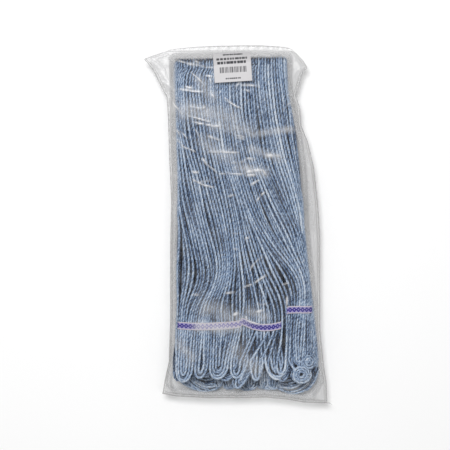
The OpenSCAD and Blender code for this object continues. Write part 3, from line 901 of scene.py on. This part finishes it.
def build_pad():
    """A coarse fibre pad with rounded corners, pressed in along its row of stitches."""
    low, high = (np.array(v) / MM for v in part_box("scrub_pad"))
    u, v = np.meshgrid(np.linspace(-1, 1, 150), np.linspace(-1, 1, 90))
    half = (high - low) / 2
    middle = (high + low) / 2
    corner = 6.0
    # squeeze the corners of the grid onto rounded ones
    x, y = u * half[0], v * half[1]
    ex = np.clip(np.abs(x) - (half[0] - corner), 0, None)
    ey = np.clip(np.abs(y) - (half[1] - corner), 0, None)
    reach = np.maximum(ex, ey)
    length = np.hypot(ex, ey) + 1e-9
    scale = np.where(reach > 0, reach / length, 1)
    x = np.sign(x) * (np.minimum(np.abs(x), half[0] - corner) + ex * scale)
    y = np.sign(y) * (np.minimum(np.abs(y), half[1] - corner) + ey * scale)
    edge = np.maximum(np.abs(u) ** 40, np.abs(v) ** 30)
    fibre = rng.normal(0, 0.10, x.shape)
    fibre = (fibre + np.roll(fibre, 1, 0) + np.roll(fibre, 1, 1)) / 1.7
    seam_y = high[1] - 7.2
    seam = np.exp(-((middle[1] + y - seam_y) / 1.1) ** 2) * 0.9
    thick = half[2] * (1 - 0.35 * edge)
    top = np.stack([middle[0] + x, middle[1] + y, middle[2] + thick + fibre - 0.3], -1)
    under = np.stack([middle[0] + x, middle[1] + y,
                      middle[2] - thick + 0.2 + np.roll(fibre, 7, 1) + seam], -1)
    obj = skin("scrub_pad_fibre", top, under)
    m = Nodes("scrub_fibre").set(Roughness=0.95, Specular_IOR_Level=0.15)
    m.colour(m.noise(900, 4, 0.75), (0.3, (0.03, 0.06, 0.16)), (0.5, (0.09, 0.16, 0.34)),
             (0.72, (0.28, 0.36, 0.52)))
    m.bump(m.noise(1300, 4, 0.8), 0.9, 0.0015)
    finish_piece(obj, m.material, "scrub_pad", "scrub_pad")
    places = [[at, seam_y, low[2] + 0.75] for at in np.arange(low[0] + 9, high[0] - 8, 5.5)]
    stitches("scrub_pad_thread", "scrub_pad_stitching", places, [[-1, 0, 0]] * len(places))


tape = tape_material()
thread = thread_material()
canvas = canvas_material()
build_front_band()
build_back_band()
build_headband()
build_pad()

# ---------------------------------------------------------------- bag and label

# Creases in the front film, each a low ridge with a painted highlight along it, in millimetres: both
# ends, width, and how white its painted highlight is
CREASES = [
    (-110, 198, -102.5, 191, 1.1, 0.6), (-102.5, 191, -83.5, 165.6, 1.0, 0.55),
    (-95, 202, -52.5, 198.3, 1.4, 0.75), (-77.5, 205, -68, 204.3, 1.6, 0.6),
    (-117, 217, -98, 206, 1.2, 0.45), (-69.8, 226.7, -49, 207.8, 1.2, 0.65),
    (-90.4, 244.8, -77.5, 243, 1.6, 0.5), (-77.5, 243, -66.3, 238.8, 1.8, 0.6),
    (-66.3, 238.8, -49, 234.5, 1.8, 0.6), (-49, 234.5, -37, 235.3, 1.6, 0.5),
    (-66, 244, -57, 239.6, 1.6, 0.5), (-49, 222.4, -38.8, 221.5, 1.2, 0.5),
    (-43, 220, -41, 212, 1.2, 0.4), (-38, 195, -36, 191, 1.8, 0.8),
    (-21.5, 191.4, -10.4, 182.8, 1.0, 0.5), (-70.6, 176, -53.4, 171.6, 1.4, 0.45),
    (-53.4, 171.6, -48, 176, 1.2, 0.5), (-74, 162, -40.5, 153.5, 1.2, 0.6),
    (-68, 152.6, -27.6, 145, 1.2, 0.65), (-98, 152.6, -91, 143, 1.2, 0.5),
    (-2.3, 205, 4.6, 211, 1.2, 0.6), (5.5, 207.8, 28.7, 206, 1.4, 0.5),
    (10.6, 200, 18.4, 196.6, 1.4, 0.5), (12, 187, 14, 183, 1.8, 0.5),
    (-19.5, 187, 6.3, 171.6, 1.0, 0.5), (65.7, 171.6, 80.4, 182, 1.1, 0.6),
    (67, 184, 68, 180, 1.6, 0.6), (75, 194, 83.8, 195.7, 1.6, 0.5),
    (-91, 126.4, -80.4, 115.7, 1.1, 0.8), (-80.4, 115.7, -63.6, 108, 1.1, 0.8),
    (-93, 142, -85, 132, 1.1, 0.55), (-85, 138, -75, 130, 1.1, 0.5),
    (-64, 142, -56, 131, 1.1, 0.5), (-43, 108.8, 0.7, 107.3, 1.3, 0.65),
    (-43.7, 131, -27.6, 128, 1.9, 0.75), (-68, 79.2, -60, 79, 2.0, 0.85),
    (-53.7, 97.4, -47, 90, 1.4, 0.75), (-47, 90, -28.4, 75.2, 1.0, 0.5),
    (-28.4, 75.2, -17.7, 76, 1.0, 0.5), (-66.7, 66.5, -62, 64, 1.6, 0.8),
    (-62, 64, -36, 56, 1.2, 0.7), (-56.7, 65, -42, 66, 1.1, 0.55),
    (-13.9, 43, -4.7, 44.6, 1.1, 0.6), (-4, 132.5, 9.8, 131, 1.2, 0.6),
    (-4, 128.5, 9.8, 127.5, 1.2, 0.6), (-9.3, 92, 9.8, 95, 1.2, 0.5),
    (-17.7, 76.7, 9.8, 75, 1.2, 0.55), (10.8, 98, 26, 97, 1.5, 0.55),
    (12.3, 77.5, 22.3, 79.8, 1.5, 0.75), (22.3, 79.8, 36.8, 81.3, 1.5, 0.7),
    (36.8, 81.3, 41.4, 73.7, 1.3, 0.6), (10, 72, 26, 75, 1.5, 0.6),
    (34.5, 44.6, 39.9, 49, 1.2, 0.85), (27.6, 35.4, 33.8, 43.8, 1.1, 0.7),
    (41, 102, 63, 102.7, 2.6, 0.45), (18, 60, 30, 66, 1.3, 0.55),
    (23.5, -86.4, 42.6, -74.5, 1.2, 0.9), (8, -92.5, 19.7, -88.3, 1.2, 0.8),
    (18, -65, 36, -46, 1.0, 0.6), (31, -119, 42, -116.6, 1.2, 0.7),
    (26.6, -128, 37.3, -126.6, 1.2, 0.7), (10.5, -135, 15, -142.6, 1.3, 0.7),
    (15, -142.6, 29.6, -148, 1.2, 0.6), (64.8, -89, 74.8, -86, 1.2, 0.6),
    (72.5, -106, 71, -121, 1.3, 0.65), (-19.2, -102.8, -4.7, -99, 1.3, 0.75),
    (-6, -134, -1, -131, 1.8, 0.75), (-9, -14, 2, -13, 1.0, 0.5), (-9, -35, -1, -35, 1.0, 0.5),
    (10, -22, 18, -19, 1.0, 0.45), (-66, -104, -58, -103, 1.6, 0.5),
    (40, -262, 48, -261.5, 1.6, 0.8),
]
# Broad milky patches: both ends, half width, and how white
PATCHES = [
    (-84, 172, -10, 160, 13, 0.20), (-40, 150, 20, 140, 9, 0.16), (22, 135, 80, 143, 5.0, 0.22),
    (20, 112, 60, 100, 6, 0.16), (-48, 122, -10, 100, 11, 0.15), (0, 86, 40, 78, 7, 0.20),
    (-46, -122, 6, -142, 13, 0.15), (-60, -150, 0, -154, 7, 0.24), (14, -128, 40, -136, 7, 0.16),
    (-55, 212, -40, 190, 9, 0.14), (-90, -176, -70, -196, 8, 0.14), (-5, -185, 25, -212, 12, 0.14),
]


def segment_distance(x, y, seg):
    """Distance from places to a segment, and the share of its length where that is."""
    x0, y0, x1, y1 = seg[:4]
    dx, dy = x1 - x0, y1 - y0
    t = np.clip(((x - x0) * dx + (y - y0) * dy) / (dx * dx + dy * dy), 0, 1)
    return np.hypot(x - x0 - t * dx, y - y0 - t * dy), t


def smooth_noise(shape, cells, seed):
    """Smooth random numbers about 0 on a grid, with about this many cells each way."""
    gen = np.random.default_rng(seed)
    cu, cv = cells
    coarse = gen.normal(0, 1, (cv + 4, cu + 4))
    v = np.linspace(1, cv + 1, shape[0])
    u = np.linspace(1, cu + 1, shape[1])

    def weights(t):
        i = np.floor(t).astype(int)
        f = t - i
        w = [(1 - f) ** 3 / 6, (3 * f ** 3 - 6 * f ** 2 + 4) / 6,
             (-3 * f ** 3 + 3 * f ** 2 + 3 * f + 1) / 6, f ** 3 / 6]
        return i, w

    iv, wv = weights(v)
    iu, wu = weights(u)
    out = 0
    for a in range(4):
        for b in range(4):
            out = out + wv[a][:, None] * wu[b][None, :] * coarse[
                np.clip(iv + a - 1, 0, cv + 3)][:, np.clip(iu + b - 1, 0, cu + 3)]
    return out


def film_grid(nu, nv, side, end):
    """Places of a film panel's points, side in from its edges and end up from its bottom."""
    u = np.linspace(0, 1, nu)[None, :]
    v = np.linspace(0, 1, nv)[:, None]

    def across(y):
        return (look(y, FILM_LEFT) + side) * (1 - u) + (look(y, FILM_RIGHT) - side) * u

    base = look(across(BAG_FOOT + v * (HINGE_Y - BAG_FOOT)), FILM_BOTTOM) + end
    y = base + v * (HINGE_Y - base)
    return across(y), y


def film_look(haze, shade):
    """A film's numbers for its material, kept within what it can show."""
    return {"haze": np.clip(haze, 0, 0.95), "shade": np.clip(shade, 0, 1)}


def film_material(name, light):
    """Clear milky film: haze says how solid it looks, shade runs from dark folds to light; both also
    carry the painted highlights along its creases.
    """
    m = Nodes(name).set(Roughness=0.22, Specular_IOR_Level=0.5)
    haze = m.math("MULTIPLY_ADD", m.math("SUBTRACT", m.noise(55, 3, 0.6), 0.5), 0.10,
                  m.attribute("haze"), clamp=True)
    m.join(haze, "Alpha")
    m.colour(m.attribute("shade"), (0.0, (0.17, 0.165, 0.155)), (1.0, light))
    m.bump(m.noise(130, 3, 0.6), 0.25, 0.002)
    return m.material


def build_film(name, node, nu, nv, front, body):
    """A film panel over or under the mop: tight where it is stuffed, slack and creased around."""
    side, end = (3.4, 3.6) if front else (0.4, 0.4)
    x, y = film_grid(nu, nv, side, end)
    over = ramp(np.minimum.reduce([edge_gap(x, y) + 2, 252 - y,
                                   y - look(x, FILM_BOTTOM) - 9]) / 5)
    fine = smooth_noise(x.shape, (34, 60), 3 if front else 5)
    broad = smooth_noise(x.shape, (12, 22), 8 if front else 9)
    slack = 1 - over
    pleat = np.abs(smooth_noise(x.shape, (16, 26), 21 if front else 22))
    pleat = np.exp(-(pleat / 0.10) ** 2)
    glint, lift, patch = 0 * x, 0 * x, 0 * x
    if front:
        sway_x = smooth_noise(x.shape, (30, 60), 31)
        sway_y = smooth_noise(x.shape, (30, 60), 32)
        spark = 0.62 + 0.55 * smooth_noise(x.shape, (60, 120), 33)
        # Painted highlights: each crease lightens and clouds the film in a thin line, over a low
        # ridge
        for seg in CREASES:
            d, t = segment_distance(x + 1.2 * sway_x, y + 1.2 * sway_y, seg)
            taper = np.sin(np.pi * np.clip(t, 0.05, 0.95)) ** 0.5
            line = np.exp(-(d / (0.85 * seg[4])) ** 2) * taper
            glint = np.maximum(glint, line * seg[5] * 0.92 * np.clip(spark, 0.15, 1.2))
            lift = np.maximum(lift, line * 0.7)
        for seg in PATCHES:
            d, _ = segment_distance(x, y, seg)
            patch = np.maximum(patch, np.exp(-(d / seg[4]) ** 2) * seg[5])
    patch = patch * (0.75 + 0.25 * fine)
    edge = np.minimum.reduce([x - look(y, FILM_LEFT) - side, look(y, FILM_RIGHT) - side - x,
                              y - look(x, FILM_BOTTOM) - end])
    outline = np.exp(-(edge / 1.1) ** 2)
    wave = 0.55 * fine * (0.35 + slack) + 0.7 * broad * slack
    hem = ramp(np.minimum(edge, HINGE_Y - y) / 8)
    wave = (wave + 0.5 * pleat * slack) * hem
    if front:
        z = film_height(x, y) + np.maximum(wave, -0.45) * 0.8 + lift + 0.45
        z = np.where(hem < 1, z - 0.45 * (1 - hem), z)
    else:
        full = fullness(x, y, 0.0)
        z = 23.65 * (1 - np.minimum(1, 1.04 * full)) + np.minimum(wave, 0.4) * 0.5 * hem + 0.55
        z = np.maximum(z, 0.56)
    # glint, the creases' painted highlight, raises both haze and shade
    haze = 0.012 + 0.33 * slack + 0.12 * pleat * slack + glint + patch + 0.35 * outline * slack
    shade = 0.80 + 0.10 * broad * slack + 0.42 * glint + 0.42 * patch - 0.35 * outline * slack
    points = np.stack([x, y, z], -1)
    obj = shell(name, points, 0.12, film_look(haze, shade))
    finish_piece(obj, film_material(name + "_poly", (0.86, 0.86, 0.87)), "film", node, body=body)
    dx, dy = np.diff(points, axis=1), np.diff(points, axis=0)
    area = np.linalg.norm(np.cross(dx[:-1], dy[:, :-1]), axis=-1).sum() * MM * MM
    return obj, area


def strip(name, inner, outer, node):
    """A flat welded strip of film between two lines of places, crimped across."""
    u = np.linspace(0, 1, 7)[None, :]
    x = inner[:, :1] * (1 - u) + outer[:, :1] * u
    y = inner[:, 1:] * (1 - u) + outer[:, 1:] * u
    k = np.arange(len(inner))[:, None]
    wave = 0.22 * np.sin(k * 0.9) * np.sin(np.pi * u) + 0.18 * np.sin(k * 0.21 + 1)
    points = np.stack([x, y, MID + 0.2 + wave + 0 * x], -1)
    haze = 0.22 + 0.40 * np.exp(-((u - 0.97) / 0.16) ** 2) + 0.12 * np.sin(k * 1.7) * u + 0 * x
    shade = 0.64 - 0.40 * np.exp(-((u - 0.97) / 0.2) ** 2) + 0 * x
    obj = shell(name, points, 0.3, film_look(haze, shade))
    finish_piece(obj, weld_poly, "weld", node)


def dense(line, step=2.0):
    """A line of places with points about every step along it."""
    line = np.array(line, float)
    s = np.concatenate([[0], np.cumsum(np.linalg.norm(np.diff(line, axis=0), axis=1))])
    at = np.linspace(0, s[-1], int(s[-1] / step) + 1)
    return np.stack([np.interp(at, s, line[:, 0]), np.interp(at, s, line[:, 1])], 1)


weld_poly = film_material("weld_poly", (0.80, 0.80, 0.81))
front_film, front_area = build_film("bag_film_front", "bag_front_film", 162, 294, True,
                                    "bag_front")
back_film, back_area = build_film("bag_film_back", "bag_back_film", 130, 230, False,
                                  "bagged_mop")


def build_seals():
    rows = np.arange(-250.5, 261.5, 2.0)
    left = np.stack([look(rows, FILM_LEFT), rows], 1)
    strip("bag_seal_left", left + [2.4, 0], left, "bag_left_weld")
    rows = np.arange(-264.5, 261.5, 2.0)
    right = np.stack([look(rows, FILM_RIGHT), rows], 1)
    strip("bag_seal_right", right - [2.4, 0], right, "bag_right_weld")
    bottom = dense(np.concatenate([FILM_BOTTOM, [[142, -270]]]))
    lift = np.where(bottom[:, 0] < 134, 3.0, 3.0 * np.clip((142 - bottom[:, 0]) / 8, 0.1, 1))
    upper = bottom + np.stack([0 * lift, lift], 1)
    strip("bag_seal_bottom", upper, bottom, "bag_bottom_seal")
    top = dense(FILM_TOP)
    base = top.copy()
    base[:, 1] = HINGE_Y + 0.3
    strip("bag_seal_top", base, top, "bag_top_seal")


build_seals()


def label_ink(u, v):
    """Generic bars and blocks in rows, on a label 56 by 47: no letters, only dashes."""
    ink = np.zeros_like(u)
    gen = np.random.default_rng(4)
    rows = [(18.4, 20.6, -13, 16, 2.6, 0.6), (10.0, 13.8, -23, 22, 4.2, 1.1),
            (3.6, 7.4, -22, 21, 4.0, 1.1), (-9.8, -1.0, -19, 20, 1.1, 1.0),
            (-19.0, -17.0, -11, 11, 2.2, 0.7)]
    for low, high, at, end, dash, gap in rows:
        while at < end:
            wide = dash * gen.uniform(0.5, 1.3)
            ink[(u > at) & (u < min(at + wide, end)) & (v > low) & (v < high)] = gen.uniform(0.65, 1)
            at += wide + gap * gen.uniform(0.6, 1.4)
    return ink


def build_label():
    u, v = np.meshgrid(np.linspace(-28, 28, 112), np.linspace(-23.5, 23.5, 94))
    turn = math.radians(3.5)
    x = -8.4 + u * math.cos(turn) - v * math.sin(turn)
    y = 236 + u * math.sin(turn) + v * math.cos(turn)
    z = film_height(x, y) + 1.25 + 0.15 * np.sin(x / 9) * np.cos(y / 7)
    obj = shell("paper_label", np.stack([x, y, z], -1), 0.2, {"ink": label_ink(u, v)})
    m = Nodes("label_paper").set(Roughness=0.45, Specular_IOR_Level=0.4)
    tone = m.math("MULTIPLY_ADD", m.noise(60, 2), 0.10, m.attribute("ink"))
    m.colour(tone, (0.0, (0.56, 0.55, 0.56)), (0.10, (0.51, 0.50, 0.515)),
             (0.6, (0.06, 0.06, 0.07)), (1.0, (0.03, 0.03, 0.035)))
    m.bump(m.noise(500, 2), 0.1, 0.0004)
    finish_piece(obj, m.material, "label", "label", body="bag_front")


build_label()

# ---------------------------------------------------------------- floor


def floor():
    size, z = 6000.0, -0.4
    obj = make_object("floor", [[-size, -size, z], [size, -size, z], [size, size, z],
                                [-size, size, z]], [[0, 1, 2, 3]])
    m = Nodes("floor_paint").set(Roughness=0.9, Specular_IOR_Level=0.1)
    m.colour(m.noise(3), (0.0, (0.93, 0.93, 0.93)), (1.0, (0.95, 0.95, 0.95)))
    obj.data.materials.append(m.material)


floor()
